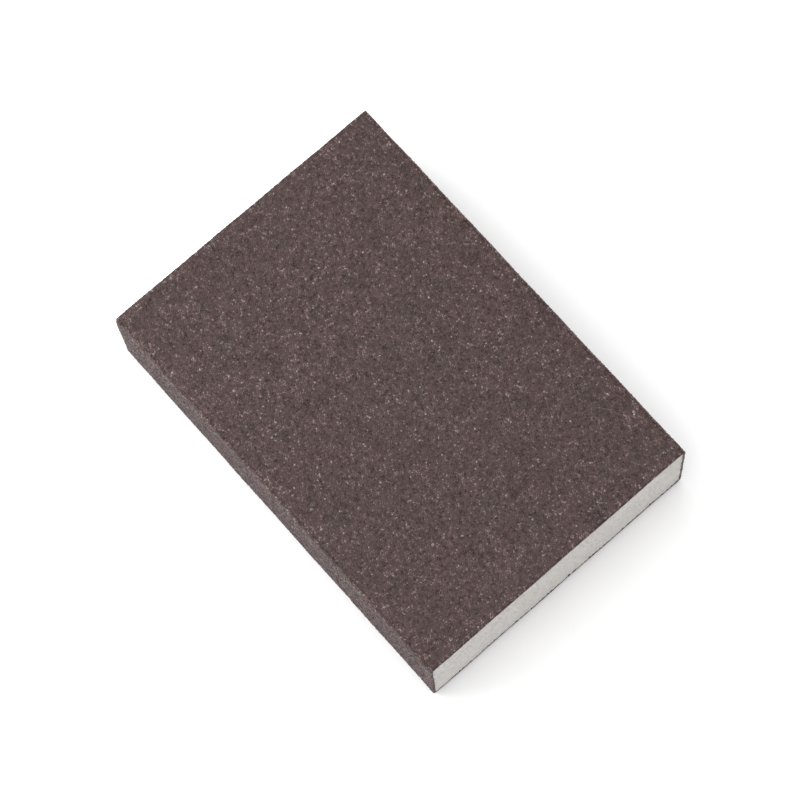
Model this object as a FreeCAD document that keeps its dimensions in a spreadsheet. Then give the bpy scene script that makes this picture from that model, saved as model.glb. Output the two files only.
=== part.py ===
import FreeCAD, Part
import Sketcher
import os

# A hand-held nail buffer block: a springy foam bar, coated with abrasive grain on its
# four long faces and cut to length last, so that bare foam shows on its two ends.
#
# Millimetres. +X runs along the length, +Y across the width, +Z up, and the origin is
# the middle of the bottom face. Front is -Y, back is +Y, and the raw ends face +X and -X.
#
# Each coating is three layers, from the foam outwards: the make coat that glues the
# grain down, the bed of grain, and the size coat that locks it. The foam is coated on
# top and bottom as a wide sheet and then slit into bars, and the bars are coated on
# their slit sides. So the top and bottom layers are as wide as the foam, and the side
# layers are as tall as the whole block and close the edges of the others.

DRIVING_SIZES = {
    "block_length": 100.0,     # between the two raw ends
    "block_width": 70.0,       # over the coatings of the front and the back
    "block_height": 25.0,      # over the coatings of the bottom and the top
    "make_coat_depth": 0.15,   # resin film between the foam and the grain
    "grain_depth": 0.40,       # bed of abrasive grain, about one coarse grain deep
    "size_coat_depth": 0.10,   # resin film over the grain
}

# The same values and what follows from them, as expressions that the pieces are bound to.
LENGTH = "Sizes.block_length"
HEIGHT = "Sizes.block_height"
COATING = "(Sizes.make_coat_depth + Sizes.grain_depth + Sizes.size_coat_depth)"
FOAM_WIDTH = f"(Sizes.block_width - 2 * {COATING})"
FOAM_HEIGHT = f"({HEIGHT} - 2 * {COATING})"
FOAM_SIDE = f"({FOAM_WIDTH} / 2)"
FOAM_TOP = f"({HEIGHT} - {COATING})"

# The layers of a coating, from the foam outwards, each with its depth.
LAYERS = [
    ("make_coat", "Sizes.make_coat_depth"),
    ("abrasive_grain", "Sizes.grain_depth"),
    ("size_coat", "Sizes.size_coat_depth"),
]

# Share of the block's volume that the pieces may miss it by, which is only rounding.
VOLUME_TOLERANCE = 1e-9


def make_sheet(document, sizes):
    """The spreadsheet that holds the driving sizes, one named cell for each."""
    sheet = document.addObject("Spreadsheet::Sheet", "Sizes")
    for row, (name, size) in enumerate(sizes.items(), start=1):
        sheet.set(f"A{row}", name)
        sheet.set(f"B{row}", str(size))
        sheet.setAlias(f"B{row}", name)
    return sheet


def origin_plane(body, role):
    """One of a body's own origin planes."""
    return next(each for each in body.Origin.OriginFeatures if each.Role == role)


def draw_section(sketch, width, height):
    """A rectangle from the sketch's origin, as wide and as high as two expressions say."""
    corners = [(0, 0), (1, 0), (1, 1), (0, 1)]
    for (x, y), (next_x, next_y) in zip(corners, corners[1:] + corners[:1]):
        start = FreeCAD.Vector(x, y, 0)
        end = FreeCAD.Vector(next_x, next_y, 0)
        sketch.addGeometry(Part.LineSegment(start, end), False)
    start_point, end_point = 1, 2
    sketch_origin = (-1, 1)
    bottom, right, top, left = range(4)
    for side, following in [(bottom, right), (right, top), (top, left), (left, bottom)]:
        joint = (side, end_point, following, start_point)
        sketch.addConstraint(Sketcher.Constraint("Coincident", *joint))
    sketch.addConstraint(Sketcher.Constraint("Coincident", bottom, start_point, *sketch_origin))
    for side, direction in [(bottom, "Horizontal"), (top, "Horizontal")]:
        sketch.addConstraint(Sketcher.Constraint(direction, side))
    for side, direction in [(right, "Vertical"), (left, "Vertical")]:
        sketch.addConstraint(Sketcher.Constraint(direction, side))
    for side, name, size in [(bottom, "width", width), (right, "height", height)]:
        index = sketch.addConstraint(Sketcher.Constraint("Distance", side, 1.0))
        sketch.renameConstraint(index, name)
        sketch.setExpression(f"Constraints.{name}", size)


def add_bar(document, name, width, height, low_y, low_z):
    """One piece: a rectangular section across the block, run along its whole length."""
    body = document.addObject("PartDesign::Body", name)
    body.Label = name
    sketch = body.newObject("Sketcher::SketchObject", f"{name}_section")
    sketch.AttachmentSupport = [(origin_plane(body, "YZ_Plane"), "")]
    sketch.MapMode = "FlatFace"
    draw_section(sketch, width, height)
    pad = body.newObject("PartDesign::Pad", f"{name}_pad")
    pad.Profile = sketch
    pad.setExpression("Length", LENGTH)
    sketch.Visibility = False
    body.setExpression("Placement.Base.x", f"-{LENGTH} / 2")
    body.setExpression("Placement.Base.y", low_y)
    body.setExpression("Placement.Base.z", low_z)
    return body


def add_coatings(document):
    """The three layers of each of the four coatings."""
    pieces = []
    below = "0"  # how far a layer's inner face lies from the foam
    for layer, depth in LAYERS:
        above = f"({below} + {depth})"
        across = {"width": FOAM_WIDTH, "height": depth, "low_y": f"-{FOAM_SIDE}"}
        upright = {"width": depth, "height": HEIGHT, "low_z": "0"}
        pieces += [
            add_bar(document, f"top_{layer}", low_z=f"{FOAM_TOP} + {below}", **across),
            add_bar(document, f"bottom_{layer}", low_z=f"{COATING} - {above}", **across),
            add_bar(document, f"front_{layer}", low_y=f"-{FOAM_SIDE} - {above}", **upright),
            add_bar(document, f"back_{layer}", low_y=f"{FOAM_SIDE} + {below}", **upright),
        ]
        below = above
    return pieces


def check(document, pieces, sizes):
    """Stops if anything failed to build, or if the pieces don't fill the block exactly."""
    for each in document.Objects:
        if "Invalid" in each.State or "Error" in each.State:
            raise RuntimeError(f"{each.Label} failed: {each.State}")
    for piece in pieces:
        if piece.Shape.isNull() or not piece.Shape.isValid():
            raise RuntimeError(f"{piece.Label} has no valid shape")
    filled = sum(piece.Shape.Volume for piece in pieces)
    block = sizes.block_length * sizes.block_width * sizes.block_height
    if abs(filled - block) > VOLUME_TOLERANCE * block:
        raise RuntimeError(f"the pieces hold {filled} cubic mm, and the block {block}")


def write_steps(pieces):
    """One STEP file for each piece, named after it."""
    os.makedirs("parts", exist_ok=True)
    for piece in pieces:
        piece.Shape.exportStep(os.path.join("parts", f"{piece.Label}.step"))


doc = FreeCAD.newDocument("NailBufferBlock")
sizes_sheet = make_sheet(doc, DRIVING_SIZES)
doc.recompute()

foam_core = add_bar(doc, "foam_core", FOAM_WIDTH, FOAM_HEIGHT, f"-{FOAM_SIDE}", COATING)
all_pieces = [foam_core] + add_coatings(doc)
doc.recompute()

check(doc, all_pieces, sizes_sheet)
write_steps(all_pieces)
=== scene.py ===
import math
from collections import namedtuple

import bpy
import numpy as np
from mathutils import Matrix, Vector


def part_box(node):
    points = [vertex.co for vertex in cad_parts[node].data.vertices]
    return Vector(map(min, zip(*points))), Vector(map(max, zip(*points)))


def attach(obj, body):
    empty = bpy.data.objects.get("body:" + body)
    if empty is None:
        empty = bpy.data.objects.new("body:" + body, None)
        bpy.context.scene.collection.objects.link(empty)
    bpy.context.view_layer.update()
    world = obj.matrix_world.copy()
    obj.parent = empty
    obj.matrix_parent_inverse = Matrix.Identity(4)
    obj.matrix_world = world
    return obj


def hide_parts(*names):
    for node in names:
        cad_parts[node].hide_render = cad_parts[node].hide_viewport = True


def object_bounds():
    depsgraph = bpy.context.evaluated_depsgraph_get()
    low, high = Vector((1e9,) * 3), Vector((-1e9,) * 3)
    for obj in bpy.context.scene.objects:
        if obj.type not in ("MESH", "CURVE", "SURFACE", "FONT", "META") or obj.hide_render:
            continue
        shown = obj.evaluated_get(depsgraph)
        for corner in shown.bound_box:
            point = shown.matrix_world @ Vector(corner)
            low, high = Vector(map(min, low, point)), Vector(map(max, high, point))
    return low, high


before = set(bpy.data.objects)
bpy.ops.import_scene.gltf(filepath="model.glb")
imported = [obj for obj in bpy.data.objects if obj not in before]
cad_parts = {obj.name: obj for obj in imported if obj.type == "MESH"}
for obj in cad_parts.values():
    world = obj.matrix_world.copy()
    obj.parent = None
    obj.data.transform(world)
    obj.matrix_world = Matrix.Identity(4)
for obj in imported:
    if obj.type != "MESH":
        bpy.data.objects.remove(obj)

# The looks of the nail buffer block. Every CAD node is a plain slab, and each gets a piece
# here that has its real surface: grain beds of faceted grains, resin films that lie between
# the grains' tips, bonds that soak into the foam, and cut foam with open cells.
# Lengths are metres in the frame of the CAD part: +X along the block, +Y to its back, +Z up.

cad_low, cad_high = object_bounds()

MM = 0.001
SEED = 20
ROOT = "root"

foam_low, foam_high = (np.array(corner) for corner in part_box("foam_core"))
block_low, block_high = np.array(cad_low), np.array(cad_high)
block_size = block_high - block_low
foam_length, foam_width, foam_height = foam_high - foam_low
coating_depth = block_high[2] - foam_high[2]
make_coat_low, make_coat_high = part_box("top_make_coat")
bond_depth = make_coat_high.z - make_coat_low.z
grain_bed_depth = coating_depth - bond_depth

# --- Faces --------------------------------------------------------------------------------

# A rectangle on the outside of a box: its first corner, the unit vectors along, across and
# out of it, which are right-handed in that order, its length and width, and the radius of
# its rounded sides, which run along it.
Face = namedtuple("Face", "corner along across out length width radius")

X, Y, Z = np.eye(3)
AXES = {"top": (X, Y, Z), "bottom": (X, -Y, -Z), "front": (X, Z, -Y), "back": (X, -Z, Y)}


def box_face(name, low, high, radius=0.0):
    """One of the four long faces of a box between two corners."""
    along, across, out = AXES[name]
    size = high - low
    length, width, reach = (abs(axis @ size) for axis in (along, across, out))
    corner = (low + high - length * along - width * across + reach * out) / 2
    return Face(corner, along, across, out, length, width, radius)


def coated_face(name):
    """A coated face. The coatings of the sides turn round the block's long edges as far as
    those of the top and the bottom, which are as wide as the foam."""
    if name in ("front", "back"):
        return box_face(name, block_low, block_high, radius=coating_depth)
    low, high = block_low.copy(), block_high.copy()
    low[1], high[1] = foam_low[1], foam_high[1]
    return box_face(name, low, high)


def walk_width(face):
    """The width of a face, measured round its rounded sides."""
    return face.width - 2 * face.radius + math.pi * face.radius


def on_face(face, along, walk, lift):
    """Places on a face, lifted out of it. walk is how far across they are, and the share
    of it that goes round the rounded sides turns the direction of the lift too."""
    straight = (walk - math.pi / 2 * face.radius).clip(0, face.width - 2 * face.radius)
    turn = np.full(len(walk), math.pi / 2)
    if face.radius:
        turn = (walk - straight) / face.radius
    normal = np.outer(-np.cos(turn), face.across) + np.outer(np.sin(turn), face.out)
    middle = face.corner + face.radius * (face.across - face.out)
    middle = middle + np.outer(along, face.along) + np.outer(straight, face.across)
    return middle + (face.radius + lift)[:, None] * normal


# --- Lattices -----------------------------------------------------------------------------

Lattice = namedtuple("Lattice", "along across middle triangles ring")

ROW_SHIFT = 0.25              # of a lattice's rows, each way in turn, in its spacing
SWAYS = 4                     # waves that sway a lattice
SWAY = 0.35                   # height of each wave, in the lattice's pitch
SWAY_LENGTHS = (9, 15)        # in the lattice's pitch
SWAY_HOLD = 4                 # how far from its sides it starts to sway less, in its pitch
LEAST_CHIP = 0.1              # how far a cut end is drawn in at least, as a share of the most


def swayed(along, across, length, width, pitch, rng):
    """Places in a rectangle, swayed so that their rows don't show. Its sides stay put."""
    margin = np.minimum.reduce([along, length - along, across, width - across])
    hold = (margin / (SWAY_HOLD * pitch)).clip(0, 1)
    move_along, move_across = 0, 0
    for _ in range(SWAYS):
        heading, drift, phase = rng.uniform(0, 2 * math.pi, 3)
        forward = along * math.cos(heading) + across * math.sin(heading)
        turn = 2 * math.pi / (pitch * rng.uniform(*SWAY_LENGTHS))
        wave = SWAY * pitch * hold * np.sin(turn * forward + phase)
        move_along = move_along + wave * math.cos(drift)
        move_across = move_across + wave * math.sin(drift)
    return along + move_along, across + move_across


def honeycomb(length, width, pitch, jitter, rng, stretch=1.0):
    """A triangular lattice over a length by width rectangle, read as a honeycomb.

    pitch is the distance between the middles of neighbouring cells, and stretch makes the
    cells that much longer along the rectangle. middle marks the points at the middles of
    cells: the other points are the cells' corners, so each triangle has just one middle.
    Points move at random by jitter, as a share of their spacing, and the outer ones stay on
    the rectangle's sides. ring lists them in order, anticlockwise.
    """
    spacing = pitch / math.sqrt(3)
    columns = round(length / (spacing * stretch))
    rows = round(width / (spacing * math.sqrt(3) / 2))
    row, column = np.mgrid[0 : rows + 1, 0 : columns + 1]
    shift = np.where(row % 2, ROW_SHIFT, -ROW_SHIFT)
    along = column + shift + jitter * rng.uniform(-1, 1, row.shape)
    across = row + jitter * rng.uniform(-1, 1, row.shape)
    along[:, 0], along[:, -1] = 0, columns
    across[0], across[-1] = 0, rows
    along = along.clip(0, columns) * length / columns
    across = across.clip(0, rows) * width / rows
    along, across = swayed(along, across, length, width, pitch, rng)

    index = row * (columns + 1) + column
    here, right = index[:-1, :-1], index[:-1, 1:]
    above, beyond = index[1:, :-1], index[1:, 1:]
    even = [(here, right, above), (right, beyond, above)]
    odd = [(here, right, beyond), (here, beyond, above)]
    triangles = [np.stack(corners, -1)[0::2].reshape(-1, 3) for corners in even]
    triangles += [np.stack(corners, -1)[1::2].reshape(-1, 3) for corners in odd]

    slanted = column - (row - row % 2) // 2
    middle = (slanted - row) % 3 == 0
    sides = [index[0, :-1], index[:-1, -1], index[-1, :0:-1], index[:0:-1, 0]]
    return Lattice(
        along.ravel(),
        across.ravel(),
        middle.ravel(),
        np.concatenate(triangles),
        np.concatenate(sides),
    )


def drawn_in(lattice, length, ragged, rng):
    """The lattice's places along a face, with its two cut ends drawn in by up to ragged."""
    inset = ragged * rng.uniform(LEAST_CHIP, 1, len(lattice.along))
    reach = 2 * ragged
    share = np.minimum(lattice.along, length - lattice.along).clip(0, reach) / reach
    inward = np.where(lattice.along < length / 2, 1, -1)
    return lattice.along + inward * inset * (1 - share)


# --- Settling -----------------------------------------------------------------------------

EDGE_DROOP = 0.22 * MM        # how far the faces fall away at the block's long edges
DROOP_REACH = 3.0 * MM        # how far from an edge that starts
RIPPLE = 0.12 * MM            # depth of the faces' slow unevenness
RIPPLE_LENGTH = 21.0 * MM     # of its longer waves
RIPPLE_RATIO = 1.3            # how much shorter the waves that cross them are
RIPPLE_PHASES = (0.4, 1.9, 3.1)


def droop(distance):
    """How far a face has fallen at this distance from a long edge."""
    return EDGE_DROOP * (1 - distance.clip(0, DROOP_REACH) / DROOP_REACH) ** 2


def ripple(first, second, phase):
    """How deep the slow unevenness is at these two coordinates of a face."""
    turn = 2 * math.pi / RIPPLE_LENGTH
    waves = np.sin(turn * first + phase) + np.sin(RIPPLE_RATIO * turn * second + 2 * phase)
    return RIPPLE * (waves + 2) / 4


def settled(points):
    """Places in the block, moved in as soft foam settles. The closer a place is to a face,
    the more it moves with that face. Nothing moves out, and the bottom's middle stays."""
    x, y, z = points.T
    half_length, half_width, half_height = block_size / 2
    phase_x, phase_y, phase_z = RIPPLE_PHASES
    rise = z - half_height
    to_side = half_width - abs(y)
    to_top = half_height - abs(rise)
    settled_x = x * (1 - ripple(y, z, phase_x) / half_length)
    settled_y = y * (1 - (droop(to_top) + ripple(x, z, phase_y)) / half_width)
    sunk = rise * droop(to_side) / half_height + z * ripple(x, y, phase_z) / block_size[2]
    return np.stack([settled_x, settled_y, z - sunk], 1)


# --- Bake maps ----------------------------------------------------------------------------

# Each mesh comes with a UV map for baking its materials. The places of its triangles'
# corners are shares of the map's width and height. Sheets are laid out flat, and the walls
# and the cap that close them lie in two strips along the top.
BAKE_MAP = "OFBake"
SHEETS = (0.00, 0.94)         # from the bottom to the top of each part, in the map's height
WALLS = (0.95, 0.97)
CAP = (0.98, 1.00)
BETWEEN_SHEETS = 0.01         # where two sheets share a map


def sheet_map(lattice, bottom, top):
    """The corners of a lattice's triangles, laid out flat over the map's whole width."""
    right = lattice.along / lattice.along.max()
    up = bottom + (top - bottom) * lattice.across / lattice.across.max()
    return np.stack([right, up], 1)[lattice.triangles]


def side_by_side(count, corners):
    """The corners of this many triangles in a row over the map's whole width. Each of the
    three is a place in its triangle's part of the row, from 0 to 1, and a height."""
    across, up = np.transpose(corners)
    right = (np.arange(count)[:, None] + across) / count
    return np.stack([right, np.broadcast_to(up, right.shape)], 2)


def wall_map(count):
    """The corners of walls, in the order of their triangles: first one half of each wall
    and then the other."""
    low, high = WALLS
    halves = [[(0, low), (1, low), (1, high)], [(0, low), (1, high), (0, high)]]
    return np.concatenate([side_by_side(count, corners) for corners in halves])


def cap_map(count):
    """The corners of a cap's triangles, which meet in its middle."""
    low, high = CAP
    return side_by_side(count, [(0.5, low), (1, high), (0, high)])


# --- Meshes -------------------------------------------------------------------------------


def make_object(name, points, triangles, bake_map, smooth):
    """A mesh object of triangles, settled."""
    mesh = bpy.data.meshes.new(name)
    mesh.vertices.add(len(points))
    mesh.vertices.foreach_set("co", settled(points).ravel())
    mesh.loops.add(triangles.size)
    mesh.loops.foreach_set("vertex_index", triangles.ravel())
    mesh.polygons.add(len(triangles))
    mesh.polygons.foreach_set("loop_start", np.arange(0, triangles.size, 3))
    mesh.polygons.foreach_set("use_smooth", np.full(len(triangles), smooth))
    mesh.update(calc_edges=True)
    mesh.uv_layers.new(name=BAKE_MAP).uv.foreach_set("vector", bake_map.ravel())
    made = bpy.data.objects.new(name, mesh)
    bpy.context.scene.collection.objects.link(made)
    return made


def backed(points, triangles, ring, base):
    """Closes a sheet: walls from its ring down to the base's points, and a cap on them."""
    count = len(points)
    around = np.arange(len(ring))
    following = np.roll(around, -1)
    low, next_low = count + around, count + following
    high, next_high = ring[around], ring[following]
    hub = np.full(len(ring), count + len(ring))
    closing = np.concatenate(
        [
            np.stack([low, next_low, next_high], 1),
            np.stack([low, next_high, high], 1),
            np.stack([hub, next_low, low], 1),
        ]
    )
    return np.vstack([points, base, base.mean(0)]), np.vstack([triangles, closing])


def add_sheet(name, face, lattice, along, depth, base_depth, smooth):
    """A sheet at these depths under a face, made solid down to its base's depth."""
    points = on_face(face, along, lattice.across, -depth)
    ring = lattice.ring
    base = on_face(face, along[ring], lattice.across[ring], -base_depth[ring])
    points, triangles = backed(points, lattice.triangles, ring, base)
    bake_map = np.concatenate(
        [sheet_map(lattice, *SHEETS), wall_map(len(ring)), cap_map(len(ring))]
    )
    return make_object(name, points, triangles, bake_map, smooth), triangles


def set_tint(made, triangles, middle, rng):
    """Gives the triangles round each cell's middle the same random number."""
    is_middle = np.zeros(triangles.max() + 1, bool)
    is_middle[: len(middle)] = middle
    owner = triangles[np.arange(len(triangles)), is_middle[triangles].argmax(1)]
    tint = rng.uniform(0, 1, len(is_middle))[owner]
    attribute = made.data.attributes.new("tint", "FLOAT", "FACE")
    attribute.data.foreach_set("value", tint)


def place(made, node, material):
    """Puts a piece on the frame in the place of a CAD node."""
    made.data.materials.append(material)
    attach(made, ROOT)
    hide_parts(node)


# --- Coatings -----------------------------------------------------------------------------

GRAIN_PITCH = 0.50 * MM
GRAIN_JITTER = 0.36
GRAIN_HEIGHT = 0.30 * MM      # from the deepest gap between grains to the highest tip
TIP_HEIGHTS = (0.50, 1.00)    # of grains, as shares of GRAIN_HEIGHT
GAP_HEIGHTS = (0.00, 0.45)    # between grains
LOST_GRAINS = 0.05            # share of the grains that have broken out
GRAIN_CHIPS = 0.22 * MM       # how far the cut ends of a grain bed are ragged
RESIN_PITCH = 0.80 * MM
RESIN_LEVEL = 0.42            # mean height of the resin over the gaps, in GRAIN_HEIGHT
RESIN_SWELL = 0.10            # its rise and fall, in GRAIN_HEIGHT
RESIN_CHIPS = 0.30 * MM
RESIN_DEPTH = 0.20 * MM
BOND_PITCH = 0.80 * MM
BOND_STRETCH = 4.0            # its cells are long, because only its ends show
BOND_SOAK = 0.28 * MM         # how far it soaks into the foam at most
SOAK_SPREAD = (1.5, 4)        # a beta distribution: mostly shallow, here and there deep
BOND_CHIPS = 0.05 * MM


def add_grain_bed(name, rng, material):
    """A bed of faceted grains, one for each cell of a honeycomb."""
    face = coated_face(name)
    lattice = honeycomb(face.length, walk_width(face), GRAIN_PITCH, GRAIN_JITTER, rng)
    count = len(lattice.along)
    tips = rng.uniform(*TIP_HEIGHTS, count)
    tips[rng.uniform(0, 1, count) < LOST_GRAINS] = 0
    height = np.where(lattice.middle, tips, rng.uniform(*GAP_HEIGHTS, count))
    along = drawn_in(lattice, face.length, GRAIN_CHIPS, rng)
    base_depth = np.full(count, grain_bed_depth)
    made, triangles = add_sheet(
        f"{name}_grain_bed", face, lattice, along, GRAIN_HEIGHT * (1 - height), base_depth, False
    )
    set_tint(made, triangles, lattice.middle, rng)
    place(made, f"{name}_abrasive_grain", material)


def add_resin_film(name, rng, material):
    """The film of size coat, which fills the gaps and leaves the tips of the grains bare."""
    face = coated_face(name)
    lattice = honeycomb(face.length, walk_width(face), RESIN_PITCH, GRAIN_JITTER, rng)
    swell = rng.uniform(-RESIN_SWELL, RESIN_SWELL, len(lattice.along))
    depth = GRAIN_HEIGHT * (1 - RESIN_LEVEL - swell)
    along = drawn_in(lattice, face.length, RESIN_CHIPS, rng)
    made, _ = add_sheet(
        f"{name}_resin_film", face, lattice, along, depth, depth + RESIN_DEPTH, True
    )
    place(made, f"{name}_size_coat", material)


def add_bond(name, rng, material):
    """The make coat: even under the grain, and soaked unevenly into the foam behind it."""
    outward = box_face(name, foam_low, foam_high)
    far_corner = outward.corner + outward.width * outward.across
    face = outward._replace(corner=far_corner, across=-outward.across, out=-outward.out)
    lattice = honeycomb(
        face.length, face.width, BOND_PITCH, GRAIN_JITTER, rng, stretch=BOND_STRETCH
    )
    soak = BOND_SOAK * rng.beta(*SOAK_SPREAD, len(lattice.along))
    along = drawn_in(lattice, face.length, BOND_CHIPS, rng)
    base_depth = np.full(len(soak), bond_depth)
    made, _ = add_sheet(f"{name}_bond", face, lattice, along, -soak, base_depth, True)
    place(made, f"{name}_make_coat", material)


# --- Foam ---------------------------------------------------------------------------------

CUT_PITCH = 0.34 * MM         # fineness of the mesh on the two cut ends
CUT_JITTER = 0.25
CUT_BACK = 0.10 * MM          # how far the cut foam lies behind the cut coatings
BUBBLE_PITCH = 0.58 * MM      # between the middles of the foam's bubbles
BUBBLE_RADII = (0.42, 0.66)   # in BUBBLE_PITCH
BUBBLE_HEIGHTS = (-0.2, 0.8)  # of their middles over the cut, in their radius
BUBBLE_DEEPEST = 0.32 * MM
WIDE_PITCH = 4.0 * MM         # between the few wide bubbles
WIDE_RADII = (0.03, 0.12)     # in WIDE_PITCH
WALL_WEAR = 0.04 * MM         # how unevenly the walls between bubbles are cut
SAW_WAVE = 2.6 * MM           # spacing of the saw's faint marks
SAW_DEPTH = 0.025 * MM
SAW_SLANT = 0.35              # how far they lean from level


def bubbles(lattice, pitch, radii, rng):
    """How deep the bubbles are that a cut opens. They are balls in a loose grid, with their
    middles at random heights near the cut."""
    columns = math.ceil(foam_width / pitch)
    rows = math.ceil(foam_height / pitch)
    shape = (rows, columns)
    middle_along = pitch * (np.arange(columns) + rng.uniform(0, 1, shape))
    middle_across = pitch * (np.arange(rows)[:, None] + rng.uniform(0, 1, shape))
    radius = pitch * rng.uniform(*radii, shape)
    height = radius * rng.uniform(*BUBBLE_HEIGHTS, shape)
    column = (lattice.along / pitch).astype(int)
    row = (lattice.across / pitch).astype(int)
    depth = np.zeros(len(lattice.along))
    for row_step in (-1, 0, 1):
        for column_step in (-1, 0, 1):
            bubble = (row + row_step).clip(0, rows - 1), (column + column_step).clip(0, columns - 1)
            beside = (lattice.along - middle_along[bubble]) ** 2
            beside += (lattice.across - middle_across[bubble]) ** 2
            is_open = beside < radius[bubble] ** 2 - height[bubble] ** 2
            bowl = np.sqrt((radius[bubble] ** 2 - beside).clip(0)) - height[bubble]
            depth = np.maximum(depth, np.where(is_open, bowl, 0))
    return depth


def cut_end(side, rng):
    """The lattice, places and triangles of a cut end: side is 1 on the right, -1 on the left."""
    lattice = honeycomb(foam_width, foam_height, CUT_PITCH, CUT_JITTER, rng)
    fine = bubbles(lattice, BUBBLE_PITCH, BUBBLE_RADII, rng).clip(0, BUBBLE_DEEPEST)
    wide = bubbles(lattice, WIDE_PITCH, WIDE_RADII, rng)
    turn = 2 * math.pi * (SAW_SLANT * lattice.along + lattice.across) / SAW_WAVE
    depth = fine + wide + SAW_DEPTH * (1 + np.sin(turn))
    depth += WALL_WEAR * rng.uniform(0, 1, len(depth))
    depth[lattice.ring] = 0
    x = side * (foam_length / 2 - CUT_BACK - depth)
    points = np.stack([x, foam_low[1] + lattice.along, foam_low[2] + lattice.across], 1)
    triangles = lattice.triangles if side > 0 else lattice.triangles[:, ::-1]
    return lattice, points, triangles


def add_foam(rng, material):
    """The foam bar: two cut ends, and plain long sides that the coatings cover."""
    right, right_points, right_triangles = cut_end(1, rng)
    left, left_points, left_triangles = cut_end(-1, rng)
    count = len(right_points)
    right_ring, left_ring = right.ring, left.ring + count
    next_right, next_left = np.roll(right_ring, -1), np.roll(left_ring, -1)
    triangles = np.concatenate(
        [
            right_triangles,
            left_triangles + count,
            np.stack([left_ring, next_left, next_right], 1),
            np.stack([left_ring, next_right, right_ring], 1),
        ]
    )
    points = np.vstack([right_points, left_points])
    bottom, top = SHEETS
    share = (top - bottom - BETWEEN_SHEETS) / 2
    right_map = sheet_map(right, bottom, bottom + share)
    left_map = sheet_map(left, top - share, top)[:, ::-1]
    left_map = left_map * (-1, 1) + (1, 0)  # it faces the other way, so it is turned over
    bake_map = np.concatenate([right_map, left_map, wall_map(len(right_ring))])
    made = make_object("foam_bar", points, triangles, bake_map, smooth=False)
    place(made, "foam_core", material)


# --- Materials ----------------------------------------------------------------------------

EDGE_PALING_REACH = 3.0 * MM         # how far from an edge the coating is made paler


class Material:
    """A node material around one Principled shader."""

    def __init__(self, name):
        self.material = bpy.data.materials.new(name)
        self.material.use_nodes = True
        self.nodes = self.material.node_tree.nodes
        self.links = self.material.node_tree.links
        self.shader = self.nodes["Principled BSDF"]
        self.place = self.nodes.new("ShaderNodeTexCoord").outputs["Object"]

    def set(self, name, value):
        """Sets one of the shader's inputs, to a plain value or to another node's output."""
        if isinstance(value, bpy.types.NodeSocket):
            self.links.new(value, self.shader.inputs[name])
        else:
            self.shader.inputs[name].default_value = value

    def noise(self, feature, detail=2.0):
        """Noise whose features are about this long."""
        node = self.nodes.new("ShaderNodeTexNoise")
        node.inputs["Scale"].default_value = 1 / feature
        node.inputs["Detail"].default_value = detail
        self.links.new(self.place, node.inputs["Vector"])
        return node.outputs["Fac"]

    def cells(self, feature, output="Distance"):
        """A Voronoi pattern whose cells are about this long."""
        node = self.nodes.new("ShaderNodeTexVoronoi")
        node.inputs["Scale"].default_value = 1 / feature
        self.links.new(self.place, node.inputs["Vector"])
        return node.outputs[output]

    def attribute(self, name):
        """A number that the mesh carries."""
        node = self.nodes.new("ShaderNodeAttribute")
        node.attribute_name = name
        return node.outputs["Fac"]

    def ramp(self, value, stops):
        """Colours by value. stops are pairs of a place from 0 to 1 and a linear colour."""
        node = self.nodes.new("ShaderNodeValToRGB")
        elements = node.color_ramp.elements
        while len(elements) < len(stops):
            elements.new(0.5)
        for element, (at, colour) in zip(elements, stops):
            element.position = at
            element.color = (*colour, 1.0)
        self.links.new(value, node.inputs["Fac"])
        return node.outputs["Color"]

    def scaled(self, value, low, high, from_low=0.0, from_high=1.0):
        """value, mapped from one range to another and held inside it."""
        node = self.nodes.new("ShaderNodeMapRange")
        node.inputs["From Min"].default_value = from_low
        node.inputs["From Max"].default_value = from_high
        node.inputs["To Min"].default_value = low
        node.inputs["To Max"].default_value = high
        self.links.new(value, node.inputs["Value"])
        return node.outputs["Result"]

    def multiplied(self, first, second):
        """One colour times another."""
        node = self.nodes.new("ShaderNodeMix")
        node.data_type = "RGBA"
        node.blend_type = "MULTIPLY"
        node.inputs["Factor"].default_value = 1.0
        self.links.new(first, node.inputs["A"])
        self.links.new(second, node.inputs["B"])
        return node.outputs["Result"]

    def math(self, operation, first, second):
        """A node's arithmetic on two outputs."""
        node = self.nodes.new("ShaderNodeMath")
        node.operation = operation
        self.links.new(first, node.inputs[0])
        self.links.new(second, node.inputs[1])
        return node.outputs["Value"]

    def near_edge(self):
        """1 at the edges of the block and 0 away from them, where a face's middle is."""
        parts = self.nodes.new("ShaderNodeSeparateXYZ")
        self.links.new(self.place, parts.inputs["Vector"])
        near = []
        for name, low, high in zip("XYZ", block_low, block_high):
            to_low = self.scaled(parts.outputs[name], 1, 0, low, low + EDGE_PALING_REACH)
            to_high = self.scaled(parts.outputs[name], 0, 1, high - EDGE_PALING_REACH, high)
            near.append(self.math("MAXIMUM", to_low, to_high))
        pairs = [self.math("MINIMUM", near[a], near[b]) for a, b in [(0, 1), (1, 2), (0, 2)]]
        return self.math("MAXIMUM", self.math("MAXIMUM", pairs[0], pairs[1]), pairs[2])

    def bump(self, height, depth):
        """A bump from a height of 0 to 1, over this depth."""
        node = self.nodes.new("ShaderNodeBump")
        node.inputs["Distance"].default_value = depth
        self.links.new(height, node.inputs["Height"])
        self.set("Normal", node.outputs["Normal"])


def grey(value):
    """A grey, or a factor for colours that leaves their hue alone."""
    return (value, value, value)


# Linear colours of the grains, by the random number that each one carries.
GRAIN_COLOURS = [
    (0.00, (0.031, 0.015, 0.014)),
    (0.25, (0.050, 0.027, 0.025)),
    (0.55, (0.065, 0.037, 0.034)),
    (0.80, (0.083, 0.053, 0.049)),
    (0.94, (0.110, 0.079, 0.074)),
    (1.00, (0.160, 0.134, 0.126)),
]


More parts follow.
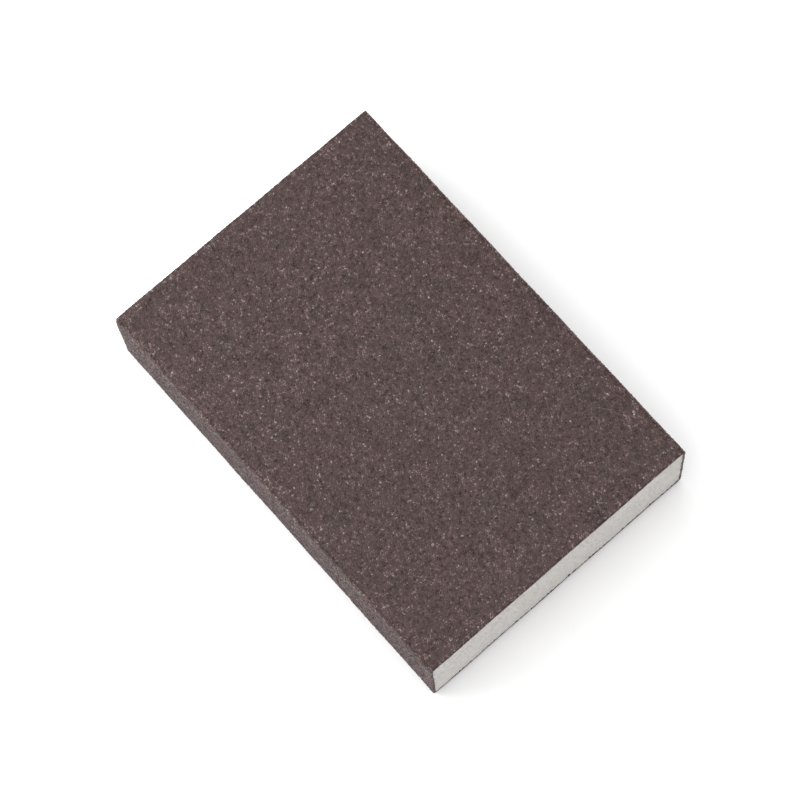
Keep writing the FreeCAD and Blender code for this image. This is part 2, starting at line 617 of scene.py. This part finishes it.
def grain_material():
    """Brown aluminium oxide: each grain its own shade, some reddish and a few pale."""
    m = Material("abrasive_grain")
    colour = m.ramp(m.attribute("tint"), GRAIN_COLOURS)
    layers = [
        (m.cells(0.24 * MM, "Color"), [(0.2, grey(0.75)), (0.8, grey(1.25))]),
        (m.noise(1.2 * MM), [(0.38, (0.50, 0.42, 0.41)), (0.62, (1.50, 1.62, 1.64))]),
        (m.noise(5 * MM), [(0.35, grey(0.88)), (0.65, grey(1.12))]),
        (m.noise(17 * MM), [(0.3, (0.96, 0.98, 0.99)), (0.7, (1.05, 1.02, 1.01))]),
        # the coating's colour is made up to 40% paler, and a little less warm, near the block's
        # edges
        (m.near_edge(), [(0.0, grey(1.0)), (1.0, (1.34, 1.38, 1.40))]),
    ]
    for value, stops in layers:
        colour = m.multiplied(colour, m.ramp(value, stops))
    m.set("Base Color", colour)
    m.set("Roughness", m.scaled(m.attribute("tint"), 0.72, 0.40))
    m.set("Specular IOR Level", 0.35)
    m.bump(m.cells(0.16 * MM), 0.06 * MM)
    return m.material


def resin_material():
    """The size coat's dark brown resin, satin between the grains."""
    m = Material("size_coat")
    colour = m.ramp(m.noise(0.6 * MM), [(0.3, (0.023, 0.010, 0.009)), (0.7, (0.052, 0.028, 0.026))])
    colour = m.multiplied(colour, m.ramp(m.noise(5 * MM), [(0.3, grey(0.93)), (0.7, grey(1.07))]))
    m.set("Base Color", colour)
    m.set("Roughness", m.scaled(m.noise(0.3 * MM), 0.42, 0.64, 0.3, 0.7))
    m.set("Specular IOR Level", 0.35)
    m.bump(m.noise(0.22 * MM), 0.10 * MM)
    return m.material


def bond_material():
    """The make coat's resin, darker and duller, as its cut edge shows it."""
    m = Material("make_coat")
    colour = m.ramp(m.noise(0.5 * MM), [(0.3, (0.030, 0.019, 0.017)), (0.7, (0.080, 0.052, 0.046))])
    m.set("Base Color", colour)
    m.set("Roughness", m.scaled(m.noise(0.4 * MM), 0.58, 0.76, 0.3, 0.7))
    m.set("Specular IOR Level", 0.35)
    m.bump(m.noise(0.15 * MM), 0.06 * MM)
    return m.material


def foam_material():
    """Off-white polyurethane foam, faintly translucent, a little yellower in places."""
    m = Material("foam")
    colour = m.ramp(m.noise(9 * MM), [(0.3, (0.53, 0.508, 0.488)), (0.7, (0.555, 0.538, 0.524))])
    # Painted shade: the middle of each fine foam cell is made up to 8% darker, as if the pore there
    # lay in shade.
    colour = m.multiplied(colour, m.ramp(m.cells(0.20 * MM), [(0.1, grey(0.92)), (0.5, grey(1.0))]))
    m.set("Base Color", colour)
    m.set("Roughness", m.scaled(m.noise(0.5 * MM), 0.85, 0.98))
    m.bump(m.cells(0.16 * MM), 0.05 * MM)
    m.set("Subsurface Weight", 0.2)
    m.set("Subsurface Radius", (1.0, 0.9, 0.8))
    m.set("Subsurface Scale", 0.4 * MM)
    m.set("Specular IOR Level", 0.25)
    return m.material


def floor_material():
    """The pale seamless floor, very faintly uneven."""
    m = Material("studio_floor")
    m.set("Base Color", m.ramp(m.noise(250 * MM), [(0.3, grey(0.89)), (0.7, grey(0.90))]))
    m.set("Roughness", m.scaled(m.noise(20 * MM), 0.78, 0.85))
    return m.material


# --- Stage --------------------------------------------------------------------------------

FLOOR_RADIUS = 4.0
FLOOR_SIDES = 96
FLOOR_GAP = 0.02 * MM
WORLD_LIGHT = 0.92
# The lights: direction from the block, distance, size and power.
KEY = (Vector((-0.82, -0.57, 0.55)), 0.5, 0.5, 2.6)
OVERHEAD = (Vector((-0.1, 0.0, 1.0)), 1.6, 1.3, 12.0)


def add_floor():
    """A wide round floor just under the block."""
    height = block_low[2] - FLOOR_GAP
    bpy.ops.mesh.primitive_circle_add(
        vertices=FLOOR_SIDES, radius=FLOOR_RADIUS, fill_type="NGON", location=(0, 0, height)
    )
    floor = bpy.context.object
    floor.name = "studio_floor"
    floor.data.materials.append(floor_material())


def add_area_light(name, towards, distance, size, power):
    """A square soft light in this direction from the block, facing it."""
    data = bpy.data.lights.new(name, "AREA")
    data.shape = "SQUARE"
    data.size = size
    data.energy = power
    light = bpy.data.objects.new(name, data)
    light.location = towards.normalized() * distance
    light.rotation_euler = towards.to_track_quat("Z", "Y").to_euler()
    bpy.context.scene.collection.objects.link(light)


def add_world():
    """An even white surround, which fills the shadows."""
    world = bpy.data.worlds.new("studio_world")
    world.use_nodes = True
    background = world.node_tree.nodes["Background"]
    background.inputs["Color"].default_value = (1.0, 1.0, 1.0, 1.0)
    background.inputs["Strength"].default_value = WORLD_LIGHT
    bpy.context.scene.world = world


# The camera stands high over the block, beyond its right end and towards the front, so it
# sees the top, the right end's foam and a strip of the front. CAMERA_UP is the direction
# that points up in the picture.
CAMERA_PLACE = Vector((0.155, -0.101, 0.688))
CAMERA_UP = Vector((-0.720, 0.643, 0.261))
CAMERA_LENS = 150.0


def add_camera():
    """The camera, aimed at the block's middle."""
    data = bpy.data.cameras.new("camera")
    data.lens = CAMERA_LENS
    camera = bpy.data.objects.new("camera", data)
    target = Vector((block_low + block_high) / 2)
    backwards = (CAMERA_PLACE - target).normalized()
    right = CAMERA_UP.cross(backwards).normalized()
    up = backwards.cross(right)
    turn = Matrix((right, up, backwards)).transposed().to_4x4()
    camera.matrix_world = Matrix.Translation(CAMERA_PLACE) @ turn
    bpy.context.scene.collection.objects.link(camera)
    bpy.context.scene.camera = camera


# --- The scene ----------------------------------------------------------------------------

rng = np.random.default_rng(SEED)
grain, resin, bond = grain_material(), resin_material(), bond_material()
for face_name in AXES:
    add_grain_bed(face_name, rng, grain)
    add_resin_film(face_name, rng, resin)
    add_bond(face_name, rng, bond)
add_foam(rng, foam_material())

add_floor()
add_world()
add_area_light("key", *KEY)
add_area_light("overhead", *OVERHEAD)
add_camera()
bpy.context.scene.view_settings.view_transform = "Standard"
